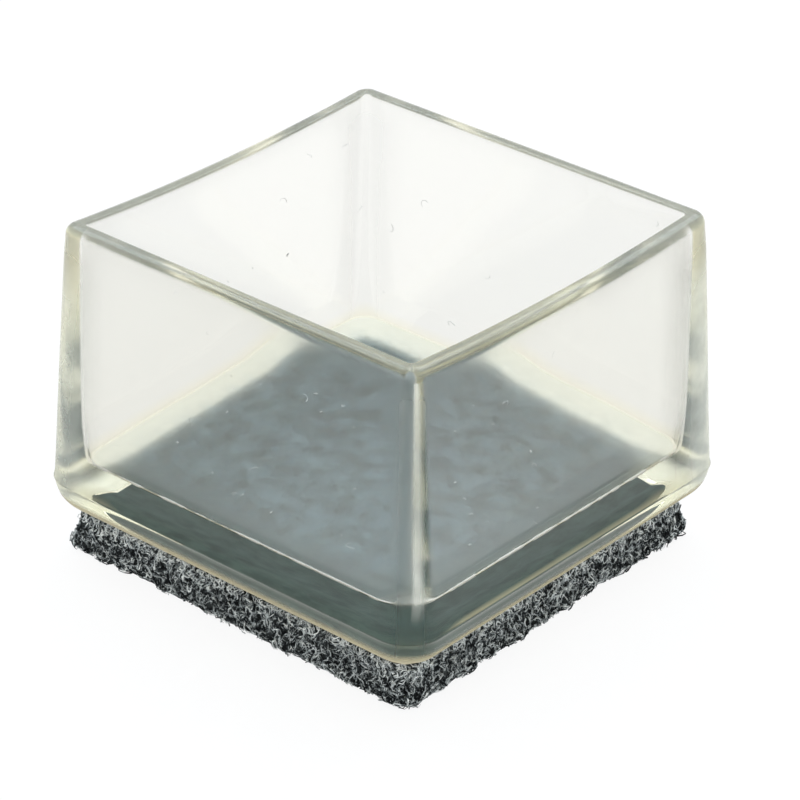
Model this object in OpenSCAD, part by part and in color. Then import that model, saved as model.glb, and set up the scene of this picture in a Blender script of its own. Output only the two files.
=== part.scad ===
// Furniture slider: a soft clear cup that slips over a square chair leg,
// with a felt pad stuck under its thick floor by a thin adhesive film.
// The origin is the centre of the felt's lower face, and +Z is up.
// The rim of the -X and +X walls dips a little between its corners.

/* [Pocket] */
// Width of the square pocket at its floor
pocket_w = 30; // [18:0.5:60]
// How far the pocket opens on each side from its floor to its mouth
pocket_draft = 0.1; // [0:0.05:0.4]
// Corner radius of the pocket at its mouth
mouth_corner_r = 0.5; // [0.3:0.1:1.5]
// Corner radius of the pocket at its floor
floor_corner_r = 1.6; // [0.7:0.1:3]
// Fillet where the pocket's walls meet its floor
floor_fillet_r = 0.25; // [0.1:0.05:0.5]

/* [Cap] */
// Height of the cap, from its underside to the corners of its rim
cap_h = 23.25; // [15:0.25:50]
// Thickness of the floor under the leg
floor_t = 4.45; // [3:0.05:8]
// Thickness of the wall at the rim
rim_wall = 1.35; // [1.1:0.05:2.5]
// How much further out each outer face lies at the base than at the rim
wall_flare = 1.45; // [0.2:0.05:2.5]
// Radius that rounds the outer edge of the underside
bottom_edge_r = 2.8; // [1.5:0.1:3.5]
// Corner radius of the outline at the rim
rim_corner_r = 1.3; // [1.1:0.1:2.5]
// Corner radius of the outline at the base
base_corner_r = 2.9; // [1.5:0.1:4.5]
// Radius on the outer edge of the rim
rim_outer_r = 0.8; // [0.3:0.05:0.9]
// Lead-in on the inner edge of the rim
rim_lead_in = 0.2; // [0.1:0.05:0.35]
// Dip of the rim at the middle of the -X and +X walls
rim_dip = 0.65; // [0:0.05:1.5]

/* [Adhesive film] */
// Thickness of the film
film_t = 0.2; // [0.1:0.05:0.5]
// How far the film's edge lies inside the edge of the felt's upper face
film_inset = 0.1; // [0:0.05:0.5]

/* [Felt pad] */
// Thickness of the felt
felt_t = 3.2; // [2:0.05:6]
// How far the felt's upper edge reaches past the cap's flat underside, below its rounded edge
felt_reach = 0.65; // [0:0.05:1.2]
// How much further out each side of the felt lies at its lower edge, where the fibres spread
felt_flare = 0.6; // [0:0.05:1]
// Corner radius of the felt
felt_corner_r = 1; // [0.6:0.1:2]
// Radius on the felt's worn lower edge
felt_edge_r = 0.4; // [0.2:0.05:0.6]

/* [Hidden] */

// Colours of the three pieces
clear_vinyl = [0.88, 0.9, 0.84, 0.45];
amber_film = [0.6, 0.48, 0.32];
grey_felt = [0.37, 0.39, 0.4];

// Steps along a dipped side, along a plain side, round a corner and round an edge
side_steps = 8;
plain_steps = 1;
corner_steps = 6;
edge_steps = 4;
corner_turn = 90;
corner_count = 4;

// How far a cut runs past the face that it opens
overrun = 0.5;

// Heights of the faces that the pieces share
film_z = felt_t;
cap_z = film_z + film_t;
floor_z = cap_z + floor_t;
rim_z = cap_z + cap_h;
wide_z = cap_z + bottom_edge_r;
flat_z = rim_z - rim_dip - rim_outer_r;

// Half widths, from the pocket outwards
floor_half = pocket_w / 2;
mouth_half = floor_half + pocket_draft;
rim_half = mouth_half + rim_wall;
base_half = rim_half + wall_flare;
underside_half = base_half - bottom_edge_r;
felt_top_half = underside_half + felt_reach;
felt_low_half = felt_top_half + felt_flare;
film_half = felt_top_half - film_inset;

// A rounded square, counter-clockwise from the end of its +X side
function corner_arc(half, r, k) =
    let (reach = half - r)
    let (mid = corner_turn * k + corner_turn / 2)
    let (cx = reach * sign(cos(mid)))
    let (cy = reach * sign(sin(mid)))
    [for (i = [0:corner_steps])
        let (a = corner_turn * (k + i / corner_steps))
        [cx + r * cos(a), cy + r * sin(a)]];

// Points that share out a straight side in even steps
function side_points(from, to, steps) =
    [for (i = [1:1:steps - 1]) from + (to - from) * i / steps];

function outline(half, r, steps) =
    let (arcs = [for (k = [0:corner_count - 1]) corner_arc(half, r, k)])
    [for (k = [0:corner_count - 1])
        let (next = arcs[(k + 1) % corner_count])
        each concat(arcs[k], side_points(arcs[k][corner_steps], next[0], steps))];

// Depth of the dip across the cap: full at the middle, none at the -Y and +Y walls
function dip_at(y) = rim_dip * max(0, 1 - pow(y / rim_half, 2));

// A level is [half width, corner radius, height, share of the dip]
function level_points(level, steps) =
    [for (p = outline(level[0], level[1], steps))
        [p.x, p.y, level[2] - level[3] * dip_at(p.y)]];

// Levels round a quarter edge: turn says at which angle each one lies
function edge_turns() = [for (i = [0:edge_steps]) corner_turn * i / edge_steps];

// Share of the way from one height up to another
function rise_share(z, from_z, to_z) = (z - from_z) / (to_z - from_z);

// Value that changes evenly with the share
function blend(from, to, share) = from + (to - from) * share;

// Outside of the cap: the rounded underside, the flat drafted walls and the rim's outer edge
function outer_levels() =
    let (share = rise_share(flat_z, wide_z, rim_z))
    concat(
        [for (a = edge_turns())
            [underside_half + bottom_edge_r * sin(a), base_corner_r,
                cap_z + bottom_edge_r * (1 - cos(a)), 0]],
        [[blend(base_half, rim_half, share), blend(base_corner_r, rim_corner_r, share), flat_z, 0]],
        [for (a = edge_turns())
            [rim_half - rim_outer_r * (1 - cos(a)), rim_corner_r - rim_outer_r * (1 - cos(a)),
                rim_z - rim_outer_r * (1 - sin(a)), 1]]
    );

// Room for the leg: the floor's fillet, the flat drafted walls and the lead-in at the rim
function pocket_levels() =
    let (share = rise_share(flat_z, floor_z, rim_z))
    let (lip = rim_lead_in + overrun)
    concat(
        [for (a = edge_turns())
            [floor_half - floor_fillet_r * (1 - sin(a)), floor_corner_r - floor_fillet_r * (1 - sin(a)),
                floor_z + floor_fillet_r * (1 - cos(a)), 0]],
        [[blend(floor_half, mouth_half, share), blend(floor_corner_r, mouth_corner_r, share), flat_z, 0]],
        [[mouth_half, mouth_corner_r, rim_z - rim_lead_in, 1]],
        [[mouth_half + lip, mouth_corner_r + lip, rim_z + overrun, 1]]
    );

// Felt from below its lower face, round the worn edge and up the drawn-in sides
function felt_levels() = concat(
    [[felt_low_half - felt_edge_r, felt_corner_r - felt_edge_r, -overrun, 0]],
    [for (a = edge_turns())
        [felt_low_half - felt_edge_r * (1 - sin(a)), felt_corner_r - felt_edge_r * (1 - sin(a)),
            felt_edge_r * (1 - cos(a)), 0]],
    [[felt_top_half, felt_corner_r, felt_t, 0]]
);

// Skin through a stack of levels, closed by a fan of faces at each end
module skin(levels, steps) {
    rings = [for (level = levels) level_points(level, steps)];
    per_ring = len(rings[0]);
    last = len(rings) - 1;
    lower_centre = len(rings) * per_ring;
    upper_centre = lower_centre + 1;
    points = concat(
        [for (ring = rings) each ring],
        [for (i = [0, last]) [0, 0, levels[i][2] - levels[i][3] * dip_at(0)]]
    );
    walls = [for (i = [0:last - 1], j = [0:per_ring - 1])
        let (k = (j + 1) % per_ring)
        let (a = i * per_ring + j)
        let (b = i * per_ring + k)
        let (c = a + per_ring)
        let (d = b + per_ring)
        each [[a, c, d], [a, d, b]]];
    lower_face = [for (j = [0:per_ring - 1])
        [j, (j + 1) % per_ring, lower_centre]];
    upper_face = [for (j = [0:per_ring - 1])
        [last * per_ring + (j + 1) % per_ring, last * per_ring + j, upper_centre]];
    polyhedron(points, concat(lower_face, walls, upper_face));
}

// Clear soft cup: drafted walls, rounded lips and a thick floor in one moulding
module leg_cap() {
    color(clear_vinyl)
        difference() {
            skin(outer_levels(), side_steps);
            skin(pocket_levels(), side_steps);
        }
}

// Double-sided film between the cap's underside and the felt
module adhesive_film() {
    color(amber_film)
        translate([0, 0, film_z])
            linear_extrude(film_t)
                polygon(outline(film_half, felt_corner_r - film_inset, plain_steps));
}

// Needled felt pad that slides on the floor, trimmed flat where it meets it
module felt_pad() {
    trim_w = corner_count * felt_low_half;
    color(grey_felt)
        difference() {
            skin(felt_levels(), plain_steps);
            translate([-trim_w / 2, -trim_w / 2, -trim_w])
                cube(trim_w);
        }
}

leg_cap();
adhesive_film();
felt_pad();
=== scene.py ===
# %% [markdown]
# # A clear leg cap with a felt pad
# This lesson dresses a furniture slider: a soft, clear, square cup that slips over a chair
# leg, and a grey felt pad stuck under its thick floor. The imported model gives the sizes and
# the places, and each step here makes one piece or one finish on top of it.

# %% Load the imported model
import math

import bpy
import numpy as np
from mathutils import Matrix, Vector, noise


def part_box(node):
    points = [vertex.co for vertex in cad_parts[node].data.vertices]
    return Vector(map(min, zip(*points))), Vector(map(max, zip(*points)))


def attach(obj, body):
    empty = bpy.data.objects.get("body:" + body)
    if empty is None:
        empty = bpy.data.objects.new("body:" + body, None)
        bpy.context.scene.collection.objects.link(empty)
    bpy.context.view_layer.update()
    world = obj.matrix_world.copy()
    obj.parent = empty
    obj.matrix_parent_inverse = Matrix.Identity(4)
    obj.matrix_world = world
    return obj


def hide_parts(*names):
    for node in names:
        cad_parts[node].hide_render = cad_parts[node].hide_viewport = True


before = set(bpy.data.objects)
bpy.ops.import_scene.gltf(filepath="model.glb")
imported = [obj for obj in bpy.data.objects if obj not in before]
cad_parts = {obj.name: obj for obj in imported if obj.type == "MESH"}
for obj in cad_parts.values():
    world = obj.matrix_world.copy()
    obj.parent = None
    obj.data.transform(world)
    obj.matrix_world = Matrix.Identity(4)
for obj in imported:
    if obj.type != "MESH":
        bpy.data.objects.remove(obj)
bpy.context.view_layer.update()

MM = 0.001
scene = bpy.context.scene
scene.view_settings.view_transform = "Standard"

# %% [markdown]
# The camera comes first, because every later choice is judged through it. The cup stands
# cornerwise, seen from a little under thirty degrees above the floor with a long lens, and the
# picture leans by about a degree. A camera can be aimed with a constraint, but here its axes
# are worked out directly, so the lean is one plain number. Distances are in millimetres.

# %% Camera
VIEW_AZIMUTH, VIEW_ELEVATION, VIEW_LEAN = 39.98, 29.26, 1.22
VIEW_DISTANCE, VIEW_NEAREST = 263.1, 10.0
VIEW_AIM = Vector((0.893, 0.755, 11.827))
FOCAL_PIXELS, FRAME_PIXELS, SENSOR_WIDTH = 3616.0, 800.0, 36.0


def camera_axes(azimuth, elevation, lean):
    a, e, r = (math.radians(v) for v in (azimuth, elevation, lean))
    back = Vector((math.sin(a) * math.cos(e), -math.cos(a) * math.cos(e), math.sin(e)))
    flat = Vector((math.cos(a), math.sin(a), 0))
    upright = back.cross(flat)
    right = flat * math.cos(r) + upright * math.sin(r)
    return right, back.cross(right), back


VIEW_RIGHT, VIEW_UP, VIEW_BACK = camera_axes(VIEW_AZIMUTH, VIEW_ELEVATION, VIEW_LEAN)
camera = bpy.data.objects.new("camera", bpy.data.cameras.new("camera"))
scene.collection.objects.link(camera)
view_turn = Matrix((VIEW_RIGHT, VIEW_UP, VIEW_BACK)).transposed().to_4x4()
camera.matrix_world = Matrix.Translation((VIEW_AIM + VIEW_BACK * VIEW_DISTANCE) * MM) @ view_turn
camera.data.sensor_width = SENSOR_WIDTH
camera.data.lens = SENSOR_WIDTH * FOCAL_PIXELS / FRAME_PIXELS
camera.data.clip_start = VIEW_NEAREST * MM
scene.camera = camera
print("camera", [round(c / MM, 1) for c in camera.location], "lens", round(camera.data.lens, 1))

# %% [markdown]
# Node trees and meshes are wordy, so a few small helpers keep the later cells readable. The
# first adds a node and sets its inputs by name or number. The next ones do a sum, mix two
# colours, stretch a value, read a value or a place from the mesh, add a surface, fill a colour
# ramp, and start or end a material. The last makes a piece from points and faces.


# %% Helpers for node trees and meshes
def put(tree, kind, inputs=None, **settings):
    node = tree.nodes.new(kind)
    for name, value in settings.items():
        setattr(node, name, value)
    for name, value in (inputs or {}).items():
        socket = node.inputs[name]
        if isinstance(value, bpy.types.NodeSocket):
            tree.links.new(value, socket)
        else:
            socket.default_value = value
    return node


def calc(tree, operation, *values):
    return put(tree, "ShaderNodeMath", dict(enumerate(values)), operation=operation).outputs[0]


def mix(tree, share, first, second):
    inputs = {"Factor": share, "A": first, "B": second}
    return put(tree, "ShaderNodeMix", inputs, data_type="RGBA").outputs["Result"]


def stretch(tree, value, low, high, to_low=0.0, to_high=1.0):
    inputs = {0: value, 1: low, 2: high, 3: to_low, 4: to_high}
    return put(tree, "ShaderNodeMapRange", inputs).outputs[0]


def kept_value(tree, name):
    return put(tree, "ShaderNodeAttribute", attribute_name=name).outputs["Fac"]


def own_place(tree):
    return put(tree, "ShaderNodeTexCoord").outputs["Object"]


def principled(tree, colour, roughness, more=None):
    inputs = {"Base Color": colour, "Roughness": roughness, **(more or {})}
    return put(tree, "ShaderNodeBsdfPrincipled", inputs).outputs[0]


def fill_ramp(node, stops):
    ramp = node.color_ramp
    while len(ramp.elements) < len(stops):
        ramp.elements.new(0.5)
    for stop, (at, rgb) in zip(ramp.elements, stops):
        stop.position = at
        stop.color = (*rgb, 1)


def start_material(name):
    material = bpy.data.materials.new(name)
    material.use_nodes = True
    material.node_tree.nodes.clear()
    return material, material.node_tree


def end_material(tree, surface, volume=None):
    out = put(tree, "ShaderNodeOutputMaterial", {"Surface": surface})
    if volume:
        tree.links.new(volume, out.inputs["Volume"])


def add_piece(name, points, faces):
    mesh = bpy.data.meshes.new(name)
    mesh.from_pydata(points, [], faces)
    piece = bpy.data.objects.new(name, mesh)
    scene.collection.objects.link(piece)
    return piece


# %% [markdown]
# The slider stands on a plain white floor. Lit like any other white sheet, the floor would turn
# grey away from the lamp, so it is painted: the lens, mirrors and clear plastic see it as white,
# and a small share of its own shading stays and keeps the shadow under the felt.

# %% Floor
FLOOR_SIDE, FLOOR_GLOW_SHARE = 6.0, 0.9
FLOOR_WHITE, GLOW_WHITE = (0.92, 0.92, 0.92, 1), (1, 1, 1, 1)


def seen_directly(tree):
    rays = put(tree, "ShaderNodeLightPath").outputs
    either = calc(tree, "MAXIMUM", rays["Is Camera Ray"], rays["Is Glossy Ray"])
    return calc(tree, "MAXIMUM", either, rays["Is Transmission Ray"])


def floor_paint():
    finish, tree = start_material("floor")
    white = put(tree, "ShaderNodeBsdfDiffuse", {"Color": FLOOR_WHITE})
    glow = put(tree, "ShaderNodeEmission", {"Color": GLOW_WHITE, "Strength": 1.0})
    share = calc(tree, "MULTIPLY", seen_directly(tree), FLOOR_GLOW_SHARE)
    painted = put(tree, "ShaderNodeMixShader", {0: share, 1: white.outputs[0], 2: glow.outputs[0]})
    end_material(tree, painted.outputs[0])
    return finish


floor_half = FLOOR_SIDE / 2
floor_corners = [(x * floor_half, y * floor_half, 0) for x, y in ((-1, -1), (1, -1), (1, 1), (-1, 1))]
floor = add_piece("floor", floor_corners, [(0, 1, 2, 3)])
floor.data.materials.append(floor_paint())
print("floor", FLOOR_SIDE, "m wide")

# %% [markdown]
# The light is an even studio. The world is a soft white all round, and one wide, cool softbox
# above and behind the cup lays a sheen on the pocket's floor. Light has to pass many clear walls,
# so the limits on bounces are raised.

# %% Studio light
SKY_WHITE, SOFTBOX_WHITE = (0.93, 0.98, 1, 1), (0.80, 0.90, 1.0)
SOFTBOX_AWAY, SOFTBOX_SIZE, SOFTBOX_LEVEL = Vector((-0.25, 0.29, 0.60)), (1.1, 0.45), 3.2
CLEAR_BOUNCES, GLOSSY_BOUNCES = 32, 24

scene.world = bpy.data.worlds.new("studio")
scene.world.use_nodes = True
sky_tree = scene.world.node_tree
sky_tree.nodes.clear()
sky = put(sky_tree, "ShaderNodeBackground", {"Color": SKY_WHITE, "Strength": 1.0})
put(sky_tree, "ShaderNodeOutputWorld", {"Surface": sky.outputs[0]})
lamp = bpy.data.lights.new("softbox", "AREA")
lamp.shape = "RECTANGLE"
lamp.color = SOFTBOX_WHITE
lamp.size, lamp.size_y = SOFTBOX_SIZE
lamp.energy = SOFTBOX_LEVEL * math.pi * lamp.size * lamp.size_y
softbox = bpy.data.objects.new("softbox", lamp)
softbox.location = SOFTBOX_AWAY
softbox.rotation_euler = SOFTBOX_AWAY.to_track_quat("Z", "Y").to_euler()
scene.collection.objects.link(softbox)
scene.cycles.max_bounces = CLEAR_BOUNCES
scene.cycles.transmission_bounces = CLEAR_BOUNCES
scene.cycles.glossy_bounces = GLOSSY_BOUNCES
print("softbox", round(lamp.energy, 2), "W")

# %% [markdown]
# The cup is one moulding with drafted walls, a thick floor and soft lips. Its widest half width
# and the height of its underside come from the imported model, and the other sizes are measured
# from those two, in millimetres. The wobble is the slight waviness of soft vinyl, the lean is the
# small shift of its base, and the parting line is the fine flash that the mould leaves in front.


# %% Leg cap sizes
def box_of(node):
    return [tuple(round(c / MM, 2) for c in corner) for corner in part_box(node)]


BASE_HALF, UNDERSIDE_Z = box_of("leg_cap")[1][0], box_of("leg_cap")[0][2]
CAP_H, FLOOR_T, RIM_WALL, WALL_FLARE, POCKET_DRAFT = 23.25, 4.45, 1.35, 1.45, 0.1
RIM_HALF = BASE_HALF - WALL_FLARE
MOUTH_HALF = RIM_HALF - RIM_WALL
POCKET_HALF = MOUTH_HALF - POCKET_DRAFT
POCKET_Z, RIM_Z = UNDERSIDE_Z + FLOOR_T, UNDERSIDE_Z + CAP_H
UNDER_EDGE, RIM_EDGE, LIP_EDGE = 2.8, 0.85, 0.2
FRONT_FILLET, BACK_FILLET = 0.17, 0.03
UNDER_CORNER, BASE_CORNER, RIM_CORNER = 1.2, 2.9, 1.3
MOUTH_CORNER, POCKET_CORNER, CORNER_RUN_OUT = 0.35, 1.6, 2.5
RIM_DIP = 0.65
WALL_DRAFT = WALL_FLARE / (CAP_H - UNDER_EDGE)
BASE_LEAN = np.array((0.10, 0.08, 0.0))
PARTING_LINE, PARTING_RISE = 0.12, 0.08
WALL_WOBBLE, WOBBLE_LENGTH, WOBBLE_RISE = 0.03, 7.0, 3.0
OUTSIDE_SEED, INSIDE_SEED = 3.0, 8.0
print("pocket", round(2 * POCKET_HALF, 2), "wide and", round(RIM_Z - POCKET_Z, 2), "deep")

# %% [markdown]
# A cube with bevels and a boolean cut would give the cup's shape, but clear plastic shows every
# facet and every pinched normal. So the cup is skinned through a stack of rounded squares, and
# these helpers make one square at a height, dip and waver it, and skin a stack of them.

# %% Rounded squares and their skin
CORNER_STEPS, SIDE_STEPS = 14, 28
QUARTER_TURN = np.array(((0.0, 1.0), (-1.0, 0.0)))


def wavy(points, length, seed):
    return np.array([noise.noise(Vector(p) / length + Vector((seed, 0, 0))) for p in points])


def rounded_square(half, corner, corner_steps=CORNER_STEPS, side_steps=SIDE_STEPS):
    straight = half - corner
    arc = [math.pi / 2 * i / corner_steps for i in range(corner_steps + 1)]
    quarter_ring = [(straight + corner * math.cos(a), straight + corner * math.sin(a)) for a in arc]
    quarter_ring += [(straight * (1 - 2 * i / side_steps), half) for i in range(1, side_steps)]
    rings = [np.array(quarter_ring)]
    for _ in range(3):
        rings.append(rings[-1] @ QUARTER_TURN)
    return np.vstack(rings)


def outward_of(ring, half, corner):
    return (ring - np.clip(ring, corner - half, half - corner)) / corner


def level(half, corner, z, dip=0.0, slope=0.0, wobble=0.0, seed=0.0, steps=(CORNER_STEPS, SIDE_STEPS)):
    ring = rounded_square(half, corner, *steps)
    drop = RIM_DIP * dip * np.clip(1 - (ring[:, 1] / RIM_HALF) ** 2, 0, None)
    points = np.column_stack((ring, np.full(len(ring), z)))
    push = slope * drop
    if wobble:
        push = push + wobble * wavy(points, WOBBLE_LENGTH, seed)
    points[:, :2] += outward_of(ring, half, corner) * push[:, None]
    points[:, 2] -= drop
    return points


def skin(name, rings):
    count = len(rings[0])
    points = np.vstack(rings + [rings[0].mean(0), rings[-1].mean(0)]) * MM
    faces = []
    for i in range(len(rings) - 1):
        for j in range(count):
            k = (j + 1) % count
            faces.append((i * count + j, i * count + k, (i + 1) * count + k, (i + 1) * count + j))
    low, high, last = len(points) - 2, len(points) - 1, (len(rings) - 1) * count
    faces += [(low, (j + 1) % count, j) for j in range(count)]
    faces += [(high, last + j, last + (j + 1) % count) for j in range(count)]
    piece = add_piece(name, points.tolist(), faces)
    piece.data.shade_smooth()
    return piece


# %% [markdown]
# Most features of the cup come and go along its height or round its sides. Each has a small,
# smooth rule here, because any sudden change shows as a line in clear plastic: the rim's dip, the
# walls' wobble, the pocket's corner radius, the share of the two front sides, and the lean.

# %% Rules for the cup's rings
FRONT_TURN = 0.9


def quarter(steps):
    return [math.pi / 2 * i / steps for i in range(steps + 1)]


def between(low, high, t):
    return low + (high - low) * t


def ease(t):
    t = min(1.0, max(0.0, t))
    return t * t * (3 - 2 * t)


def eased(values):
    return np.array([ease(v) for v in values])


def dip_share(z):
    return ease((z - POCKET_Z) / (RIM_Z - 2 * RIM_EDGE - POCKET_Z))


def wobble_at(z):
    return WALL_WOBBLE * ease((z - POCKET_Z) / WOBBLE_RISE)


def pocket_corner(z):
    return MOUTH_CORNER + (POCKET_CORNER - MOUTH_CORNER) * math.exp((POCKET_Z - z) / CORNER_RUN_OUT)


def front_share(outward):
    nearness = outward @ np.array((VIEW_BACK.x, VIEW_BACK.y)) / VIEW_BACK.xy.length
    return eased(0.5 + FRONT_TURN * nearness)


def leaning(ring):
    return ring + BASE_LEAN * (1 - (ring[:, 2:] - UNDERSIDE_Z) / (RIM_Z - UNDERSIDE_Z))


# %% [markdown]
# Now the rings themselves: up the outside, over the rim and down into the pocket, close together
# only where the surface turns. Each ring also carries how dull it is and its tone, because a used
# cap isn't clear all over: its corners, rim and pocket floor are worn, and its thick base is
# yellower than its walls. The pocket floor's cool blue tone is a painted reflection of cool light.
# Kept on the mesh, both values follow the shape without any texture map.

# %% Rings of the leg cap
WALL_STEPS, UNDER_STEPS, RIM_STEPS, LIP_STEPS, FILLET_STEPS = 12, 10, 8, 6, 6
UNDER_INSETS, FLOOR_INSETS = (3.0, 0.3), (0.3, 0.6, 3.0)
# The last tone is the painted cool reflection on the pocket floor.
DEEP, CLEAR, POCKET_SHEEN = 0.0, 0.5, 1.0
TONE_FADE = 1.5
CORNER_DULL, RIM_DULL, FLOOR_DULL = 0.7, 0.45, 0.9
UNDER_DULL, UNDER_DULL_FROM, UNDER_DULL_OVER = 0.9, 0.2, 0.7
SIDE_CORNER_FROM, SIDE_CORNER_OVER = 0.6, 0.3
FRONT_CORNER_FROM, FRONT_CORNER_OVER = 0.86, 0.08


def flash_ring(z):
    ring = level(BASE_HALF, BASE_CORNER, z)
    outward = outward_of(ring[:, :2], BASE_HALF, BASE_CORNER)
    ring[:, :2] += outward * (PARTING_LINE * front_share(outward))[:, None]
    return ring


def fillet_ring(a):
    ring = level(POCKET_HALF, POCKET_CORNER, POCKET_Z)
    outward = outward_of(ring[:, :2], POCKET_HALF, POCKET_CORNER)
    radius = between(BACK_FILLET, FRONT_FILLET, front_share(outward))
    ring[:, :2] -= outward * (radius * (1 - math.cos(a)))[:, None]
    ring[:, 2] += radius * (1 - math.sin(a))
    return ring


def corner_dull(ring):
    towards = np.abs(ring[:, :2]).min(1) / np.abs(ring[:, :2]).max(1)
    wide = eased((towards - SIDE_CORNER_FROM) / SIDE_CORNER_OVER)
    narrow = eased((towards - FRONT_CORNER_FROM) / FRONT_CORNER_OVER)
    at_front = (ring[:, 0] > 0) & (ring[:, 1] < 0)
    return CORNER_DULL * np.where(at_front, narrow, wide)


def underside_rings():
    under = BASE_HALF - UNDER_EDGE
    rings = [(level(under - inset, UNDER_CORNER, UNDERSIDE_Z), 0.0, DEEP) for inset in UNDER_INSETS]
    for a in quarter(UNDER_STEPS):
        z = UNDERSIDE_Z + UNDER_EDGE * (1 - math.cos(a))
        corner = between(UNDER_CORNER, BASE_CORNER, math.sin(a))
        dull = UNDER_DULL * ease((math.cos(a) - UNDER_DULL_FROM) / UNDER_DULL_OVER)
        rings.append((level(under + UNDER_EDGE * math.sin(a), corner, z), dull, DEEP))
    return rings


def outer_rings():
    wide_z = UNDERSIDE_Z + UNDER_EDGE
    rings = underside_rings()
    rings.append((flash_ring(wide_z + PARTING_RISE), 0.0, DEEP))
    rings.append((level(BASE_HALF, BASE_CORNER, wide_z + 2 * PARTING_RISE), 0.0, DEEP))
    for i in range(1, WALL_STEPS):
        z = between(wide_z, RIM_Z - RIM_EDGE, i / WALL_STEPS)
        t = (z - wide_z) / (RIM_Z - wide_z)
        half, corner = between(BASE_HALF, RIM_HALF, t), between(BASE_CORNER, RIM_CORNER, t)
        ring = level(half, corner, z, dip_share(z), WALL_DRAFT, wobble_at(z), OUTSIDE_SEED)
        tone = between(DEEP, CLEAR, ease((z - POCKET_Z + TONE_FADE) / TONE_FADE))
        rings.append((ring, 0.0, tone))
    return [(leaning(ring), np.maximum(dull, corner_dull(ring)), tone) for ring, dull, tone in rings]


def rim_rings():
    rings = []
    for a in quarter(RIM_STEPS):
        inset = RIM_EDGE * (1 - math.cos(a))
        z = RIM_Z - RIM_EDGE * (1 - math.sin(a))
        ring = level(RIM_HALF - inset, RIM_CORNER - inset, z, 1, WALL_DRAFT, WALL_WOBBLE, OUTSIDE_SEED)
        rings.append((ring, RIM_DULL, CLEAR))
    for a in quarter(LIP_STEPS):
        inset = LIP_EDGE * (1 - math.sin(a))
        z = RIM_Z - LIP_EDGE * (1 - math.cos(a))
        ring = level(MOUTH_HALF + inset, MOUTH_CORNER + inset, z, 1, 0.0, WALL_WOBBLE, INSIDE_SEED)
        rings.append((ring, RIM_DULL, CLEAR))
    return rings


def pocket_rings():
    rings = []
    for i in range(1, WALL_STEPS):
        z = between(RIM_Z - LIP_EDGE, POCKET_Z + FRONT_FILLET, ease(i / WALL_STEPS))
        half = between(POCKET_HALF, MOUTH_HALF, (z - POCKET_Z) / (RIM_Z - POCKET_Z))
        ring = level(half, pocket_corner(z), z, dip_share(z), 0.0, wobble_at(z), INSIDE_SEED)
        rings.append((ring, 0.0, CLEAR))
    rings += [(fillet_ring(a), 0.0, CLEAR) for a in quarter(FILLET_STEPS)]
    # The pocket floor's rings take the tone of the painted cool reflection.
    for inset in FLOOR_INSETS:
        rings.append((level(POCKET_HALF - inset, POCKET_CORNER, POCKET_Z), FLOOR_DULL, POCKET_SHEEN))
    return rings


# %% [markdown]
# The leg cap is the skin through all those rings, closed by a fan at the underside's middle and
# one at the pocket floor's middle. It takes the place of the plain packed cup.


# %% Leg cap
def keep(piece, name, values):
    kept = piece.data.attributes.new(name, "FLOAT", "POINT")
    kept.data.foreach_set("value", np.concatenate(values))


outer, rim, pocket = outer_rings(), rim_rings(), pocket_rings()
cup_rings = outer + rim + pocket
leg_cap = skin("clear_leg_cap", [ring for ring, _, _ in cup_rings])
frost = [np.zeros(len(ring)) + dull for ring, dull, _ in cup_rings]
tones = [np.full(len(ring), tone) for ring, _, tone in cup_rings]
keep(leg_cap, "frost", frost + [np.array((0.0, FLOOR_DULL))])
keep(leg_cap, "tone", tones + [np.array((DEEP, POCKET_SHEEN))])
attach(leg_cap, "root")
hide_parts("leg_cap")
print("leg cap", len(leg_cap.data.vertices), "points")

# %% [markdown]
# Nearly every finish here needs soft cloudy variation, so it is one small group: a noise on the
# piece's own coordinates, stretched between a low and a high value. An image texture would need
# unwrapping, and this one follows any shape.

# %% Mottle group
CLOUD_DETAIL, CLOUD_ROUGHNESS = 4.0, 0.6
MOTTLE_DEFAULTS = {"Size": 0.002, "Low": 0.0, "High": 1.0, "Contrast": 2.0}


def make_mottle():
    group = bpy.data.node_groups.new("mottle", "ShaderNodeTree")
    for name, default in MOTTLE_DEFAULTS.items():
        socket = group.interface.new_socket(name, in_out="INPUT", socket_type="NodeSocketFloat")
        socket.default_value = default
    group.interface.new_socket("Value", in_out="OUTPUT", socket_type="NodeSocketFloat")
    given = put(group, "NodeGroupInput").outputs
    cloud = put(group, "ShaderNodeTexNoise", {
        "Vector": own_place(group), "Scale": calc(group, "DIVIDE", 1.0, given["Size"]),
        "Detail": CLOUD_DETAIL, "Roughness": CLOUD_ROUGHNESS}).outputs[0]
    centred = calc(group, "SUBTRACT", cloud, 0.5)
    spread = put(group, "ShaderNodeMath", {0: centred, 1: given["Contrast"], 2: 0.5},
                 operation="MULTIPLY_ADD", use_clamp=True).outputs[0]
    value = stretch(group, spread, 0.0, 1.0, given["Low"], given["High"])
    put(group, "NodeGroupOutput", {"Value": value})
    return group


MOTTLE = make_mottle()


def mottle(tree, size, low, high, contrast):
    inputs = {"Size": size, "Low": low, "High": high, "Contrast": contrast}
    return put(tree, "ShaderNodeGroup", inputs, node_tree=MOTTLE).outputs[0]


print("mottle", len(MOTTLE.nodes), "nodes")

# %% [markdown]
# Clear vinyl bends light like glass, with a faint yellow tint that deepens with the way through
# it: thin walls look white, and the rim, where one looks down the wall's whole height, looks
# cream and grey. A tinted surface would colour both alike, so part of the tint is an absorption
# inside the solid, and the rings' tones add the rest. Where the rings are dull, light spreads.

# %% Clear vinyl finish
# The last tone, a cool blue on the pocket floor, is a painted reflection of cool light.
VINYL_TONES = ((DEEP, (0.95, 0.90, 0.68)), (CLEAR, (0.955, 0.95, 0.925)), (POCKET_SHEEN, (0.90, 0.98, 1.0)))
VINYL_TINT, VINYL_DENSITY, VINYL_BEND = (0.95, 0.88, 0.38, 1), 10.0, 1.5
DULL_ROUGHNESS = 0.4


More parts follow.
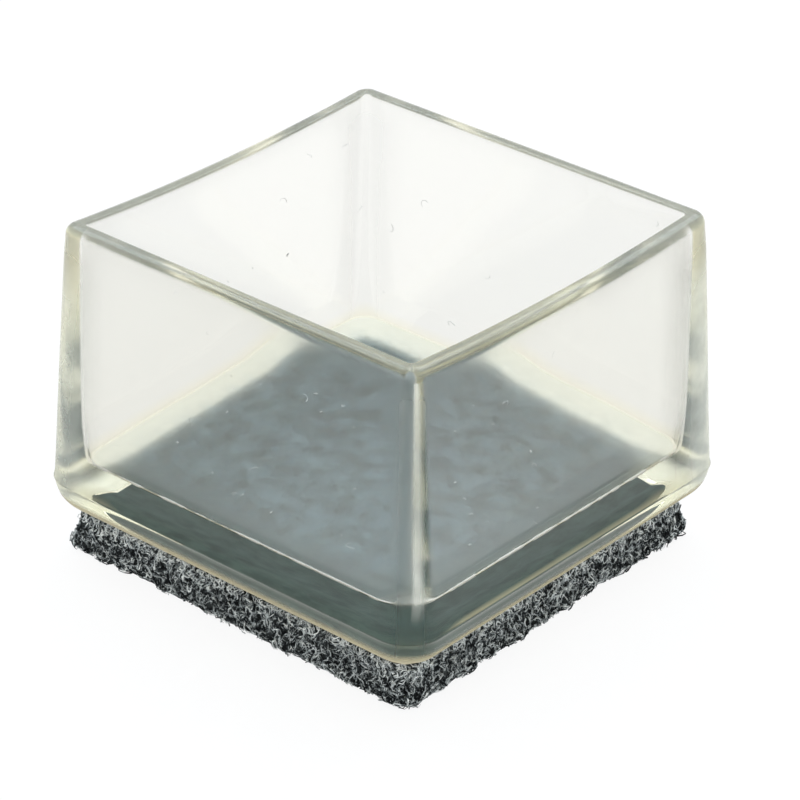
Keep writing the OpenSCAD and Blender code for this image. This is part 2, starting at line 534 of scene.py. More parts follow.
def clear_vinyl():
    finish, tree = start_material("clear_vinyl")
    haze = mottle(tree, size=0.004, low=0.01, high=0.03, contrast=2.0)
    rough = calc(tree, "MULTIPLY_ADD", kept_value(tree, "frost"), DULL_ROUGHNESS, haze)
    tones = put(tree, "ShaderNodeValToRGB", {0: kept_value(tree, "tone")})
    fill_ramp(tones, VINYL_TONES)
    clear = principled(tree, tones.outputs[0], rough, {"IOR": VINYL_BEND, "Transmission Weight": 1.0})
    tint = put(tree, "ShaderNodeVolumeAbsorption", {"Color": VINYL_TINT, "Density": VINYL_DENSITY})
    end_material(tree, clear, tint.outputs[0])
    return finish


leg_cap.data.materials.append(clear_vinyl())
print("vinyl tones", len(VINYL_TONES))

# %% [markdown]
# The crease where the pocket's floor meets its walls shows as a thin broken white line through the
# two front walls. The line is a painted highlight: the glint of that edge is made as pale dust
# packed into the crease, on the front walls only. A line coloured onto the surface would lie flat,
# so it is a fine four-sided bead along the crease, and noise sets its thickness and breaks it.

# %% Painted highlight in the crease
CREASE_BEAD, CREASE_BREAK, CREASE_THINNEST = 0.08, 1.2, 0.01
CREASE_MEAN, CREASE_COARSE, CREASE_FINE, CREASE_FINER = 0.75, 1.1, 0.5, 4
CREASE_COARSE_SEED, CREASE_FINE_SEED = 31.0, 32.0
CREASE_FRONT_SHARE, CREASE_STEPS = 0.9, (24, 200)


def crease_size(path, outward):
    coarse = wavy(path, CREASE_BREAK, CREASE_COARSE_SEED)
    fine = wavy(path, CREASE_BREAK / CREASE_FINER, CREASE_FINE_SEED)
    amount = CREASE_MEAN + CREASE_COARSE * coarse + CREASE_FINE * fine
    # Only the front walls get the bead, because it is a painted highlight of their edge.
    return CREASE_BEAD * np.clip(amount, 0.0, 1.0) * (front_share(outward) > CREASE_FRONT_SHARE)


def crease_glint():
    half = POCKET_HALF - CREASE_BEAD
    path = level(half, POCKET_CORNER, POCKET_Z + CREASE_BEAD, steps=CREASE_STEPS)
    outward = outward_of(path[:, :2], half, POCKET_CORNER)
    size = crease_size(path, outward)
    across = np.column_stack((outward, np.zeros(len(path))))
    upward = np.array((0.0, 0.0, 1.0))
    points, faces = [], []
    for point, out, thick in zip(path, across, size):
        points += [point + thick * side for side in (out, upward, -out, -upward)]
    for i in range(len(path)):
        j = (i + 1) % len(path)
        if min(size[i], size[j]) > CREASE_THINNEST:
            faces += [(4 * i + k, 4 * i + (k + 1) % 4, 4 * j + (k + 1) % 4, 4 * j + k) for k in range(4)]
    return add_piece("crease_glint", (np.array(points) * MM).tolist(), faces)


# Pale powder for the real specks and lint, and for the painted highlight in the crease.
def dust_and_highlight_finish():
    finish, tree = start_material("dust_and_highlight")
    pale = mottle(tree, size=0.0006, low=0.75, high=0.95, contrast=2.0)
    powder = put(tree, "ShaderNodeCombineColor", {0: pale, 1: pale, 2: pale})
    end_material(tree, principled(tree, powder.outputs[0], roughness=0.9))
    return finish


dust_and_highlight = dust_and_highlight_finish()
crease = crease_glint()
crease.data.materials.append(dust_and_highlight)
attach(crease, "root")
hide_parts("leg_cap")
print("crease glint", len(crease.data.polygons), "faces")

# %% [markdown]
# The pocket's floor is cloudy with fine dust from the leg, and blue with a painted reflection of
# cool light. The vinyl itself has to stay clear, so the dust and the painted reflection are one thin
# sheet a hair above the floor. Only its opacity varies: it fades out toward the walls and is
# mottled everywhere else.

# %% Dusty pocket floor with a painted reflection
FLOOR_DUST_INSET, FLOOR_DUST_FADE, FLOOR_DUST_LIFT = 0.4, 3.0, 0.012
# The sheet's blue is a painted reflection of cool light on the pocket floor.
FLOOR_DUST_SHEEN_BLUE = (0.45, 0.62, 0.72, 1)


def dust_and_sheen_sheet():
    z = POCKET_Z + FLOOR_DUST_LIFT
    border = level(POCKET_HALF - FLOOR_DUST_INSET, POCKET_CORNER, z)
    field = level(POCKET_HALF - FLOOR_DUST_FADE, POCKET_CORNER, z)
    count = len(border)
    faces = [(j, (j + 1) % count, count + (j + 1) % count, count + j) for j in range(count)]
    faces.append(tuple(range(count, 2 * count)))
    sheet = add_piece("floor_dust_and_sheen", (np.vstack((border, field)) * MM).tolist(), faces)
    keep(sheet, "dust_and_highlight", [np.zeros(count), np.ones(count)])
    return sheet


# Mottled like settled dust, and blue as a painted reflection of cool light.
def settled_dust_and_sheen():
    finish, tree = start_material("floor_dust_and_sheen")
    cloud = mottle(tree, size=0.0016, low=0.0, high=0.16, contrast=3.5)
    cover = calc(tree, "MULTIPLY", kept_value(tree, "dust_and_highlight"), cloud)
    end_material(tree, principled(tree, FLOOR_DUST_SHEEN_BLUE, roughness=0.9, more={"Alpha": cover}))
    return finish


floor_dust_and_sheen = dust_and_sheen_sheet()
floor_dust_and_sheen.data.materials.append(settled_dust_and_sheen())
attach(floor_dust_and_sheen, "root")
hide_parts("leg_cap")
print("floor dust", len(floor_dust_and_sheen.data.polygons), "faces")

# %% [markdown]
# Soft vinyl gets scuffed first where it sticks out, so the side corners, the front corner and the
# rim are milky. That cream is partly wear and partly painted light: it lightens the side corners,
# the pale streak down the front corner and the rim as light carried through the plastic would, and
# the right corner gets more of it than the left. Each scuff is a skin a hair outside the cup, made
# from the cup's own points, and its opacity fades along the walls. Milky vinyl could also be mixed
# into the clear finish, but a clear finish exports best when it is clear all over. Rows count
# rings, and columns count points.

# %% Corner and rim scuffs with painted light
SCUFF_STAND_OFF, SCUFF_REACH, SCUFF_FIRST_RING = 0.015, 3, 5
SCUFF_FADE_LOW, SCUFF_FADE_HIGH = 4, 2
FRONT_SCUFF, FRONT_SCUFF_FADE = (7, 11), 2
FRONT_SCUFF_ROW, FRONT_SCUFF_OVER_RIM, FRONT_SCUFF_FADE_LOW = 15, 3, 1.5
RIM_SCUFF_AND_LIGHT, RIM_SCUFF_FADE = 0.25, 3
RIGHT_CORNER, LEFT_CORNER, FRONT_CORNER = 0, 2, 3
# Strengths of the corners' cream, partly wear and partly painted light; the right gets more.
RIGHT_SCUFF_AND_LIGHT, LEFT_SCUFF_AND_LIGHT = 1.1, 0.7
# The cream is partly milky wear and partly painted light.
SCUFF_AND_LIGHT_CREAM = (0.96, 0.94, 0.84, 1)
RING_POINTS, RIM_FIRST_RING = len(cup_rings[0][0]), len(outer)


def scuff_and_light_skin(name, rows, columns, cover):
    points, milkiness, faces = [], [], []
    for i, row in enumerate(rows):
        for k, column in enumerate(columns):
            vertex = leg_cap.data.vertices[row * RING_POINTS + column % RING_POINTS]
            points.append(vertex.co + vertex.normal * SCUFF_STAND_OFF * MM)
            milkiness.append(cover(i, k))
            if i and k:
                last = len(points) - 1
                faces.append((last - len(columns) - 1, last - len(columns), last, last - 1))
    piece = add_piece(name, points, faces)
    piece.data.shade_smooth()
    keep(piece, "scuff_and_light", [np.array(milkiness)])
    return piece


def corner_scuff_and_light(name, corner, strength):
    first = corner * RING_POINTS // 4 + RING_POINTS
    columns = range(first - SCUFF_REACH, first + CORNER_STEPS + SCUFF_REACH + 1)
    rows = range(SCUFF_FIRST_RING, RIM_FIRST_RING)

    def cover(i, k):
        from_side = min(k, len(columns) - 1 - k) / SCUFF_REACH
        from_rim = (len(rows) - 1 - i) / SCUFF_FADE_HIGH
        return strength * ease(from_side) * ease(i / SCUFF_FADE_LOW) * ease(from_rim)

    return scuff_and_light_skin(name, rows, columns, cover)


def front_scuff_and_light(name):
    first = FRONT_CORNER * RING_POINTS // 4
    columns = range(first + FRONT_SCUFF[0], first + FRONT_SCUFF[1] + 1)
    rows = range(FRONT_SCUFF_ROW, RIM_FIRST_RING + FRONT_SCUFF_OVER_RIM)

    def cover(i, k):
        from_side = min(k, (len(columns) - 1 - k) / FRONT_SCUFF_FADE)
        return ease(from_side) * ease(i / FRONT_SCUFF_FADE_LOW)

    return scuff_and_light_skin(name, rows, columns, cover)


def rim_scuff_and_light(name):
    rows = range(RIM_FIRST_RING, RIM_FIRST_RING + len(rim))

    def cover(i, k):
        return RIM_SCUFF_AND_LIGHT * ease(min(i, len(rows) - 1 - i) / RIM_SCUFF_FADE)

    return scuff_and_light_skin(name, rows, range(RING_POINTS + 1), cover)


# Cream laid over the clear vinyl, partly scuffing and partly painted light.
def scuffed_and_lit_vinyl():
    finish, tree = start_material("scuffed_and_lit_vinyl")
    patchy = mottle(tree, size=0.003, low=0.3, high=0.5, contrast=2.0)
    cover = calc(tree, "MULTIPLY", kept_value(tree, "scuff_and_light"), patchy)
    end_material(tree, principled(tree, SCUFF_AND_LIGHT_CREAM, roughness=0.6, more={"Alpha": cover}))
    return finish


scuff_and_light_finish = scuffed_and_lit_vinyl()
scuffs_and_light = [corner_scuff_and_light("right_corner_scuff_and_light", RIGHT_CORNER, RIGHT_SCUFF_AND_LIGHT),
          corner_scuff_and_light("left_corner_scuff_and_light", LEFT_CORNER, LEFT_SCUFF_AND_LIGHT),
          front_scuff_and_light("front_corner_scuff_and_light"), rim_scuff_and_light("rim_scuff_and_light")]
for scuff_and_light in scuffs_and_light:
    scuff_and_light.data.materials.append(scuff_and_light_finish)
    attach(scuff_and_light, "root")
    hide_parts("leg_cap")
print("scuffs_and_light", len(scuffs_and_light))

# %% [markdown]
# The film that holds the felt is stuck to the cup's underside with no air between, so the felt
# shows through the clear floor. Its middle is let a hair into the cup, because a gap there would
# mirror the walls instead. Its border never wets the cup and is milky. In front a little adhesive
# is squeezed out and smeared up the base's round edge, and at the back the pad is cut a little
# short. The smear and the bead's cream are partly that adhesive and partly a painted highlight
# along the base's round edge: they are cream only on the sides facing the camera, and only there
# does the smear climb the edge. One skin, from the film's lower edge up the smear, back down and
# inward, makes all of it.

# %% Adhesive film shape
FELT_LOW_HALF, FELT_T = box_of("felt_pad")[1][0], box_of("felt_pad")[1][2]
FELT_FLARE = 0.6
FELT_TOP_HALF = FELT_LOW_HALF - FELT_FLARE
FILM_GAP, BOND_SINK = 0.04, 0.03
FILM_TOP, BOND_TOP = UNDERSIDE_Z - FILM_GAP, UNDERSIDE_Z + BOND_SINK
FILM_CORNER = 1.2
BEAD_PROFILE = ((0.17, 0.04), (0.21, 0.14), (0.23, 0.25))
BEAD_CORNER, BEAD_WAVER, BEAD_SEED = 1.45, 0.12, 20.0
SMEAR_FROM, SMEAR_TO, SMEAR_STEPS = 20.0, 75.0, 10
SMEAR_OUTSIDE, SMEAR_INSIDE = 0.035, 0.01
BORDER_INSET = 0.15
BOND_HALF, BOND_STEP, BOND_FADE = 14.8, 0.05, 1.2
BOND_WAVER, BOND_SEED = 0.4, 23.0
BOND_SHIFT = np.array((-0.4, -0.3, 0))
BOND_CORNER, CUT_CORNER = 2.0, 3.5
BORDER_MILK, BOND_MILK = 1.0, 0.75
WET_CORNER, WET_FROM, WET_TO = (15.5, -15.5), 3.0, 6.0
PAD_REACH, PAD_SHY, PAD_SHY_FROM, PAD_SHY_OVER = 16.2, 1.6, 15.0, 3.0
UNIT_SQUARE = rounded_square(1.0, 0.0)
UNIT_TURN = rounded_square(1.0, 1.0) - UNIT_SQUARE
OUTWARD = outward_of(rounded_square(1.0, 0.5), 1.0, 0.5)


def uneven_square(half, corner):
    return UNIT_SQUARE * half[:, None] + UNIT_TURN * corner[:, None]


def shy_of_back(ring, share=1.0):
    x, y = ring[:, 0].copy(), ring[:, 1].copy()
    left = eased((PAD_SHY_FROM + y) / PAD_SHY_OVER)
    right = eased((PAD_SHY_FROM - x) / PAD_SHY_OVER)
    ring[:, 0] = np.where(left > 0, np.maximum(x, PAD_SHY * share * left - PAD_REACH), x)
    ring[:, 1] = np.where(right > 0, np.minimum(y, PAD_REACH - PAD_SHY * share * right), y)
    return ring


# On the sides facing the camera the smear climbs the round edge, partly adhesive and partly a painted
# highlight.
def smear_and_highlight_ring(turn, stand_off):
    a = np.radians(between(SMEAR_FROM, turn, front_share(OUTWARD)))
    radius = UNDER_EDGE + stand_off
    half = BASE_HALF - UNDER_EDGE + radius * np.sin(a)
    corner = between(UNDER_CORNER, BASE_CORNER, np.sin(a)) + stand_off * np.sin(a)
    z = UNDERSIDE_Z + UNDER_EDGE - radius * np.cos(a)
    return leaning(np.column_stack((uneven_square(half, corner), z)))


def bond_ring(half, z):
    x, y = UNIT_SQUARE.T
    cut = eased(0.5 + (np.abs(x + y) - np.abs(x - y)) / 2)
    flat = uneven_square(np.full(len(cut), half), between(BOND_CORNER, CUT_CORNER, cut))
    ring = np.column_stack((flat, np.full(len(flat), z)))
    ring[:, :2] += OUTWARD * (BOND_WAVER * wavy(ring * (1, 1, 0), WOBBLE_LENGTH, BOND_SEED))[:, None]
    return ring + BOND_SHIFT


def film_outside():
    turns = [between(SMEAR_FROM, SMEAR_TO, i / SMEAR_STEPS) for i in range(SMEAR_STEPS + 1)]
    rings = [level(FELT_TOP_HALF, FILM_CORNER, FELT_T, wobble=BEAD_WAVER, seed=BEAD_SEED)]
    for out, up in BEAD_PROFILE:
        rings.append(level(FELT_TOP_HALF + out, BEAD_CORNER, FELT_T + up, wobble=BEAD_WAVER, seed=BEAD_SEED))
    rings += [smear_and_highlight_ring(turn, SMEAR_OUTSIDE) for turn in turns]
    rings += [smear_and_highlight_ring(turn, SMEAR_INSIDE) for turn in reversed(turns)]
    for ring in rings:
        was = ring[:, :2].copy()
        moved = np.hypot(*(shy_of_back(ring)[:, :2] - was).T) > 0
        ring[moved, 2] = np.minimum(ring[moved, 2], FILM_TOP)
    return rings


def film_inside():
    rings = [(level(FELT_TOP_HALF - BORDER_INSET, BEAD_CORNER, UNDERSIDE_Z), BORDER_MILK),
             (bond_ring(BOND_HALF + BOND_STEP, FILM_TOP), BOND_MILK),
             (bond_ring(BOND_HALF, BOND_TOP), BOND_MILK),
             (bond_ring(BOND_HALF - BOND_FADE, BOND_TOP), 0.0)]
    return [(shy_of_back(ring), milk_and_highlight) for ring, milk_and_highlight in rings]


def milk_of(ring, share):
    away = np.hypot(*(ring[:, :2] - WET_CORNER).T)
    return share * front_share(OUTWARD) * eased((away - WET_FROM) / (WET_TO - WET_FROM))


outside, inside = film_outside(), film_inside()
film = skin("adhesive_film_dressed", outside + [ring for ring, _ in inside])
film.data.shade_flat()
# The outside rings take the cream look only on the sides facing the camera: partly adhesive, partly painted
# highlight.
film_milk_and_highlight = [front_share(OUTWARD)] * len(outside) + [milk_of(ring, share) for ring, share in inside]
keep(film, "milk_and_highlight", film_milk_and_highlight + [np.zeros(2)])
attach(film, "root")
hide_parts("adhesive_film")
print("film", len(film.data.vertices), "points")

# %% [markdown]
# The film has three looks on one skin. Its bonded middle lets the felt's dark green-grey through,
# its border is milky cream, and its cut edge is brown at the felt and cream where the adhesive is
# smeared up the cup. The brown is painted shade under the adhesive bead. The cream of the bead
# and the smear is partly adhesive and partly a painted highlight, laid only on the sides facing
# the camera. The milk kept on the mesh chooses the first, and the place on the piece the other
# two. Separate materials would meet in hard lines, so one finish blends them.

# %% Adhesive film finish
FELT_SEEN_DARK, FELT_SEEN_PALE = (0.022, 0.058, 0.052, 1), (0.06, 0.115, 0.105, 1)
# The edge's brown is painted shade under the bead, and its cream is partly adhesive and partly painted
# highlight.
EDGE_SHADE_BROWN, EDGE_CREAM, MILKY_CREAM = (0.10, 0.07, 0.04, 1), (0.58, 0.50, 0.33, 1), (0.72, 0.64, 0.46, 1)
EDGE_SHADE_Z, CREAM_Z = 3.34, 3.5
SMEAR_FADE_FROM, SMEAR_FADE_TO = 4.3, 5.3
EDGE_FROM = 15.7


def past_border(tree, place):
    reach = put(tree, "ShaderNodeVectorMath", {0: place}, operation="ABSOLUTE").outputs[0]
    apart = put(tree, "ShaderNodeSeparateXYZ", {0: reach}).outputs
    return calc(tree, "GREATER_THAN", calc(tree, "MAXIMUM", apart[0], apart[1]), EDGE_FROM * MM)


def adhesive_finish():
    finish, tree = start_material("adhesive_film")
    place = own_place(tree)
    height = put(tree, "ShaderNodeSeparateXYZ", {0: place}).outputs[2]
    cloud = mottle(tree, size=0.002, low=0.0, high=1.0, contrast=4.0)
    through = mix(tree, cloud, FELT_SEEN_DARK, FELT_SEEN_PALE)
    # Brown low on the edge as painted shade under the bead, cream above.
    edge_shade_and_highlight = mix(tree, stretch(tree, height, EDGE_SHADE_Z * MM, CREAM_Z * MM), EDGE_SHADE_BROWN, EDGE_CREAM)
    milky = mix(tree, past_border(tree, place), MILKY_CREAM, edge_shade_and_highlight)
    colour = mix(tree, kept_value(tree, "milk_and_highlight"), through, milky)
    thin = stretch(tree, height, SMEAR_FADE_FROM * MM, SMEAR_FADE_TO * MM, 1.0, 0.0)
    end_material(tree, principled(tree, colour, roughness=0.7, more={"Alpha": thin}))
    return finish


film.data.materials.append(adhesive_finish())
print("film finish", film.data.materials[0].name)

# %% [markdown]
# The pad is die-cut needle felt, grey wool mixed from pale and dark fibres. Its edge is ragged
# and leans outwards toward the floor, where the cut fibres spread. The pad's own body is a dark
# core that is skinned like the cup and then roughened by noise, so no straight cut edge is left.
# A cloth simulation would soften its corners but leave its edge smooth, so displacement is used.

# %% Felt core
FELT_CORNER, FELT_EDGE, FELT_STEPS = 1.0, 0.4, (8, 72)
FELT_ROWS, SOLE_RINGS, SOLE_START = 9, 14, 1.2
RAGGED, RAGGED_LENGTH, RAGGED_SEED, RAGGED_LOSS = 0.45, 0.8, 50.0, 0.6
FINE_RAG, FINE_RAG_RATIO, FINE_RAG_SEED = 0.5, 2.3, 5
SOLE_LIFT, SOLE_LENGTH, SOLE_SEED = 0.12, 1.1, 40.0
SHY_FROM_Z = 1.0


def felt_level(half, z, ragged, seed):
    ring = level(half, FELT_CORNER, z, steps=FELT_STEPS)
    outward = outward_of(ring[:, :2], half, FELT_CORNER)
    shy_of_back(ring, ease((z - SHY_FROM_Z) / (FELT_T - SHY_FROM_Z)))
    fine = wavy(ring, RAGGED_LENGTH / FINE_RAG_RATIO, seed + FINE_RAG_SEED)
    rag = ragged * (wavy(ring, RAGGED_LENGTH, seed) + FINE_RAG * fine)
    ring[:, :2] += outward * rag[:, None]
    return ring


def felt_rings():
    rings = []
    for i in range(1, SOLE_RINGS + 1):
        half = between(SOLE_START, FELT_LOW_HALF - FELT_EDGE, i / SOLE_RINGS)
        ring = felt_level(half, 0.0, 0.0, 0.0)
        ring[:, 2] = SOLE_LIFT * (0.5 + 0.5 * wavy(ring, SOLE_LENGTH, SOLE_SEED))
        rings.append(ring)
    for i in range(FELT_ROWS):
        t = i / (FELT_ROWS - 1)
        half, z = between(FELT_LOW_HALF, FELT_TOP_HALF, t), between(FELT_EDGE, FELT_T, t)
        rings.append(felt_level(half, z, RAGGED * (1 - RAGGED_LOSS * t), RAGGED_SEED))
    return rings


felt = skin("felt_pad_core", felt_rings())
print("felt core", len(felt.data.polygons), "faces")

# %% [markdown]
# Thousands of loose fibre tufts make the felt what it is. Modelling them by hand is out of the
# question, and a particle system would have to be converted later, so a Geometry Nodes tree
# sows points on the core, stands one of a few bent tufts on each and keeps a random shade with
# every tuft. The first part of the tree bends the tufts: tapered tubes along short curves.

# %% Tuft shapes
TUFT_CURLS = (((-0.10, 0.50, 0.10), (0.05, -0.55, -0.06), (0.50, -0.05, 0.0)),
              ((-0.70, 0.45, 0.06), (0.60, 0.55, 0.12), (0.45, 0.05, 0.0)),
              ((0.15, 0.45, -0.05), (0.75, 0.10, 0.14), (0.20, -0.30, 0.05)),
              ((-0.30, -0.55, 0.12), (0.35, 0.60, 0.0), (0.55, 0.20, 0.04)),
              ((-0.45, -0.50, 0.0), (0.50, -0.60, 0.10), (0.35, 0.15, 0.08)),
              ((0.0, 0.15, 0.10), (0.25, -0.25, 0.12), (0.60, 0.0, 0.0)))
TUFT_START, TUFT_TIP_SHARE = (-0.5, 0, 0), 0.35
TUFT_SIDES, TUFT_LENGTHS = 3, 4


def tuft_shapes(tree, thickness):
    gather = put(tree, "GeometryNodeGeometryToInstance")
    profile = put(tree, "GeometryNodeCurvePrimitiveCircle", {"Resolution": TUFT_SIDES, "Radius": 1.0},
                  mode="RADIUS").outputs[0]
    along = put(tree, "GeometryNodeSplineParameter").outputs["Factor"]
    width = calc(tree, "MULTIPLY", stretch(tree, along, 0.0, 1.0, 1.0, TUFT_TIP_SHARE), thickness)
    for first, second, end in TUFT_CURLS:
        line = put(tree, "GeometryNodeCurvePrimitiveBezierSegment", {
            "Resolution": TUFT_LENGTHS, "Start": TUFT_START, "Start Handle": first,
            "End Handle": second, "End": end}, mode="POSITION").outputs[0]
        tube = put(tree, "GeometryNodeCurveToMesh", {
            "Curve": line, "Profile Curve": profile, "Scale": width, "Fill Caps": True})
        tree.links.new(tube.outputs[0], gather.inputs[0])
    return gather.outputs[0]


# %% [markdown]
# The second part sows points within a band of heights and of facing, and turns, tilts and sizes
# each tuft by chance. A Random Value node has one pair of limits for each kind of value, so its
# sockets go by number. Each draw adds its own step to the seed, so the draws don't move together.

# %% Sowing and turning
SWING_DRAW, TILT_DRAW, LENGTH_DRAW, SHADE_DRAW = 1, 3, 4, 5
INWARD_TILT_SHARE = -0.3


def chance(tree, seed, draw, low, high):
    own_seed = put(tree, "FunctionNodeIntegerMath", {0: seed, 1: draw}, operation="ADD").outputs[0]
    return put(tree, "FunctionNodeRandomValue", {2: low, 3: high, 8: own_seed}, data_type="FLOAT").outputs[1]


def within(tree, value, low, high):
    above = put(tree, "FunctionNodeCompare", {0: value, 1: low}, operation="GREATER_EQUAL").outputs[0]
    below = put(tree, "FunctionNodeCompare", {0: value, 1: high}, operation="LESS_EQUAL").outputs[0]
    return put(tree, "FunctionNodeBooleanMath", {0: above, 1: below}, operation="AND").outputs[0]


def upward_part(tree, kind):
    return put(tree, "ShaderNodeSeparateXYZ", {0: put(tree, kind).outputs[0]}).outputs[2]


def sow(tree, given):
    height = upward_part(tree, "GeometryNodeInputPosition")
    facing = upward_part(tree, "GeometryNodeInputNormal")
    chosen = put(tree, "FunctionNodeBooleanMath", {
        0: within(tree, height, given["From height"], given["To height"]),
        1: within(tree, facing, given["Facing from"], given["Facing to"])}, operation="AND")
    return put(tree, "GeometryNodeDistributePointsOnFaces", {
        "Mesh": given["Geometry"], "Selection": chosen.outputs[0], "Density": given["Density"],
        "Seed": given["Seed"]}, distribute_method="RANDOM").outputs


def turned_tufts(tree, given, normal):
    upright = put(tree, "FunctionNodeAxesToRotation", {
        "Primary Axis": normal, "Secondary Axis": (0.0, 0.0, 1.0)}, primary_axis="Z", secondary_axis="X")
    other_way = calc(tree, "MULTIPLY", given["Turn"], -1.0)
    swing = chance(tree, given["Seed"], SWING_DRAW, other_way, given["Turn"])
    inward = calc(tree, "MULTIPLY", given["Lift"], INWARD_TILT_SHARE)
    tilt = chance(tree, given["Seed"], TILT_DRAW, inward, given["Lift"])
    angles = put(tree, "ShaderNodeCombineXYZ", {"Y": tilt, "Z": swing}).outputs[0]
    lean = put(tree, "FunctionNodeEulerToRotation", {0: angles})
    return put(tree, "FunctionNodeRotateRotation", {0: upright.outputs[0], 1: lean.outputs[0]},
               rotation_space="LOCAL").outputs[0]


# %% [markdown]
# The whole tree has named inputs, so the same one makes the pad's tufts, fuzz and sole and, given
# other numbers, lays dust specks, lint and stray wool on the vinyl. It ends in plain geometry with
# a material, and the piece that leaves it is a plain mesh.

# %% Tuft scattering tree
SCATTER_NUMBERS = ("Density", "From height", "To height", "Facing from", "Facing to", "Shortest", "Longest",
                   "Thickness", "Turn", "Lift")


def scatter_inputs(tree):
    face = tree.interface
    face.new_socket("Geometry", in_out="INPUT", socket_type="NodeSocketGeometry")
    for name in SCATTER_NUMBERS:
        face.new_socket(name, in_out="INPUT", socket_type="NodeSocketFloat")
    face.new_socket("Seed", in_out="INPUT", socket_type="NodeSocketInt")
    face.new_socket("Material", in_out="INPUT", socket_type="NodeSocketMaterial")
    face.new_socket("Geometry", in_out="OUTPUT", socket_type="NodeSocketGeometry")
    return put(tree, "NodeGroupInput").outputs


def make_scatter():
    tree = bpy.data.node_groups.new("scatter_tufts", "GeometryNodeTree")
    given = scatter_inputs(tree)
    sown = sow(tree, given)
    long = chance(tree, given["Seed"], LENGTH_DRAW, given["Shortest"], given["Longest"])
    size = put(tree, "ShaderNodeCombineXYZ", {"X": long, "Y": long, "Z": long}).outputs[0]
    pick = put(tree, "FunctionNodeRandomValue", {4: 0, 5: len(TUFT_CURLS) - 1}, data_type="INT").outputs[2]
    placed = put(tree, "GeometryNodeInstanceOnPoints", {
        "Points": sown["Points"], "Instance": tuft_shapes(tree, given["Thickness"]),
        "Pick Instance": True, "Instance Index": pick,
        "Rotation": turned_tufts(tree, given, sown["Normal"]), "Scale": size})
    shade = chance(tree, given["Seed"], SHADE_DRAW, 0.0, 1.0)
    shaded = put(tree, "GeometryNodeStoreNamedAttribute", {
        "Geometry": placed.outputs[0], "Name": "shade", "Value": shade}, data_type="FLOAT", domain="INSTANCE")
    plain = put(tree, "GeometryNodeRealizeInstances", {0: shaded.outputs[0]})
    dressed = put(tree, "GeometryNodeSetMaterial", {
        "Geometry": plain.outputs[0], "Material": given["Material"]})
    put(tree, "NodeGroupOutput", {"Geometry": dressed.outputs[0]})
    return tree


SCATTER = make_scatter()


def scatter(name, host, material, **values):
    stand = bpy.data.objects.new(name + "_host", host.data.copy())
    scene.collection.objects.link(stand)
    work = stand.modifiers.new("scatter", "NODES")
    work.node_group = SCATTER
    sockets = {s.name: s.identifier for s in SCATTER.interface.items_tree if s.in_out == "INPUT"}
    for key, value in values.items():
        work[sockets[key.replace("_", " ").capitalize()]] = value
    work[sockets["Material"]] = material
    evaluated = stand.evaluated_get(bpy.context.evaluated_depsgraph_get())
    mesh = bpy.data.meshes.new_from_object(evaluated)
    mesh.name = name
    bpy.data.objects.remove(stand)
    piece = bpy.data.objects.new(name, mesh)
    scene.collection.objects.link(piece)
    print(name, len(mesh.polygons), "faces")
    return piece


print("scatter tree", len(SCATTER.nodes), "nodes")

# %% [markdown]
# Felt is a mix of nearly black, mid grey and pale fibres, so the colour comes from each tuft's
# own shade rather than from one noise. Just under the cup the wool is matted and paler. The core
# behind the tufts is almost black: partly the dark wool deep in the pad and partly painted shade
# in the gaps between fibres.

# %% Felt finishes
# The core's near black is partly dark wool and partly painted shade in the gaps between fibres.
CORE_WOOL_AND_SHADE_DARK, CORE_WOOL_AND_SHADE_PALE = (0.008, 0.009, 0.009, 1), (0.06, 0.066, 0.066, 1)
MATTED_FROM, MATTED_TO, MATTED_PALER = 2.1, 3.1, 0.35
SHADE_SHARE = 0.75
WOOL_SHADES = ((0.0, (0.003, 0.004, 0.005)), (0.2, (0.015, 0.018, 0.019)), (0.42, (0.25, 0.27, 0.27)),
               (0.65, (0.62, 0.64, 0.635)), (1.0, (0.95, 0.95, 0.92)))


# Painted shade for the gaps between tufts, also the colour of the dark stray wool.
def felt_core_wool_and_shade():
    finish, tree = start_material("felt_core_wool_and_shade")
    deep = mottle(tree, size=0.0009, low=0.0, high=1.0, contrast=3.0)
    colour = mix(tree, deep, CORE_WOOL_AND_SHADE_DARK, CORE_WOOL_AND_SHADE_PALE)
    end_material(tree, principled(tree, colour, roughness=0.95, more={"Specular IOR Level": 0.1}))
    return finish


def felt_wool():
    finish, tree = start_material("felt_wool")
    height = put(tree, "ShaderNodeSeparateXYZ", {0: own_place(tree)}).outputs[2]
    matted = stretch(tree, height, MATTED_FROM * MM, MATTED_TO * MM, 0.0, MATTED_PALER)
    patch = mottle(tree, size=0.00045, low=-0.34, high=0.34, contrast=3.5)
    paler = calc(tree, "ADD", matted, patch)
    mixed = calc(tree, "MULTIPLY_ADD", kept_value(tree, "shade"), SHADE_SHARE, paler)
    wools = put(tree, "ShaderNodeValToRGB", {0: mixed})
    fill_ramp(wools, WOOL_SHADES)
    end_material(tree, principled(tree, wools.outputs[0], roughness=0.9, more={"Specular IOR Level": 0.2}))
    return finish


core_wool_and_shade_finish, wool_finish = felt_core_wool_and_shade(), felt_wool()
felt.data.materials.append(core_wool_and_shade_finish)
print("felt finishes", core_wool_and_shade_finish.name, wool_finish.name)

# %% [markdown]
# The pad's edge gets thick short tufts first and then finer, longer fuzz that stands off more, and
# the sole gets long flat fibres. All three are cut level at the floor and just above the pad's
# upper face, as the die and the cup do to the real fibres. An upright face's normal can round to
# a little more than one, so the limits of facing reach past it.

# %% Felt tufts
ANY_TURN, PAST_UPRIGHT = 3.1, 1.01
PILE = 0.12
FELT_SIDE = dict(from_height=0.05 * MM, to_height=FELT_T * MM, facing_from=-0.8, facing_to=0.8, turn=ANY_TURN)
FELT_SOLE = dict(from_height=0.0, to_height=0.5 * MM, facing_from=-PAST_UPRIGHT, facing_to=-0.8,
                 turn=ANY_TURN)

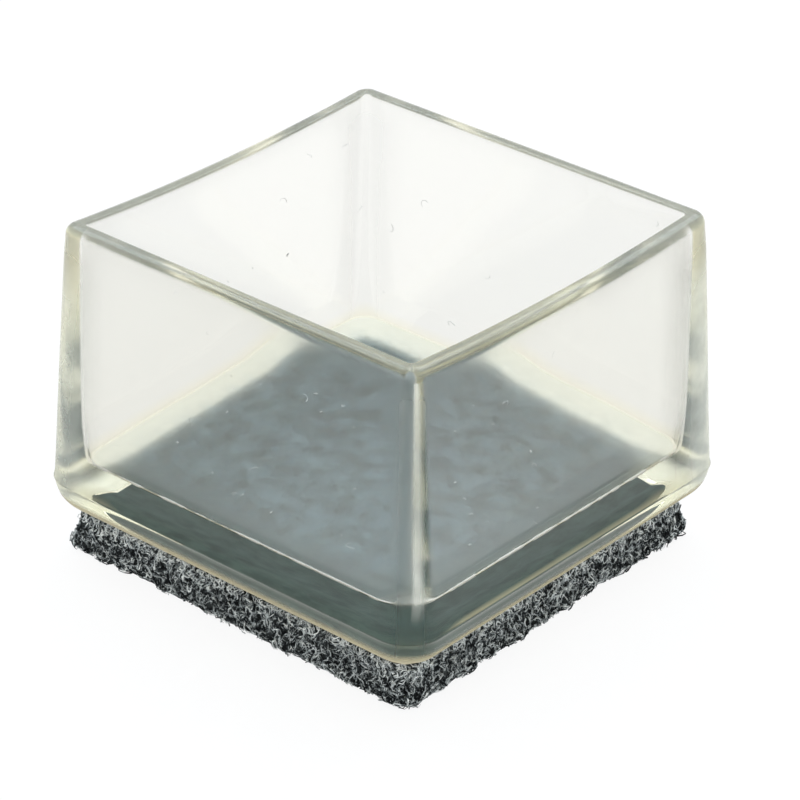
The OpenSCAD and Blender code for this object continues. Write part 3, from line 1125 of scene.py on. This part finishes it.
edge = scatter("felt_edge_tufts", felt, wool_finish, density=1.4e7, shortest=0.35 * MM, longest=0.85 * MM,
               thickness=0.11, lift=0.12, seed=11, **FELT_SIDE)
fuzz = scatter("felt_edge_fuzz", felt, wool_finish, density=1.0e7, shortest=0.5 * MM, longest=1.1 * MM,
               thickness=0.05, lift=0.35, seed=37, **FELT_SIDE)
sole = scatter("felt_sole_tufts", felt, wool_finish, density=3.0e6, shortest=0.8 * MM, longest=1.8 * MM,
               thickness=0.05, lift=0.05, seed=23, **FELT_SOLE)
for piece in (edge, fuzz, sole):
    points = np.empty(len(piece.data.vertices) * 3)
    piece.data.vertices.foreach_get("co", points)
    points[2::3] = np.clip(points[2::3], 0.0, (FELT_T + PILE) * MM)
    piece.data.vertices.foreach_set("co", points)
for piece in (felt, edge, fuzz, sole):
    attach(piece, "root")
    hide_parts("felt_pad")

# %% [markdown]
# A used cap is never quite clean. Small white specks lie on the pocket's floor, pale lint clings
# to the walls, and a few dark bits of wool stick to them. All three come from the same tree as
# the felt, sown thinly on the cup.

# %% Specks, lint and stray wool
CUP_FLOOR = dict(from_height=7.0 * MM, to_height=9.0 * MM, facing_from=0.5, facing_to=PAST_UPRIGHT,
                 turn=ANY_TURN)
CUP_WALLS = dict(from_height=4.5 * MM, to_height=26.0 * MM, facing_from=-0.6, facing_to=PAST_UPRIGHT,
                 turn=ANY_TURN)

specks = scatter("dust_specks", leg_cap, dust_and_highlight, density=6.0e4, shortest=0.08 * MM, longest=0.24 * MM,
                 thickness=0.25, lift=0.05, seed=5, **CUP_FLOOR)
lint = scatter("lint", leg_cap, dust_and_highlight, density=5.0e3, shortest=0.3 * MM, longest=0.9 * MM,
               thickness=0.035, lift=0.02, seed=8, **CUP_WALLS)
strays = scatter("stray_wool", leg_cap, core_wool_and_shade_finish, density=1.2e3, shortest=0.1 * MM, longest=0.3 * MM,
                 thickness=0.14, lift=0.03, seed=14, **CUP_WALLS)
for piece in (specks, lint, strays):
    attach(piece, "root")
    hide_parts("leg_cap")
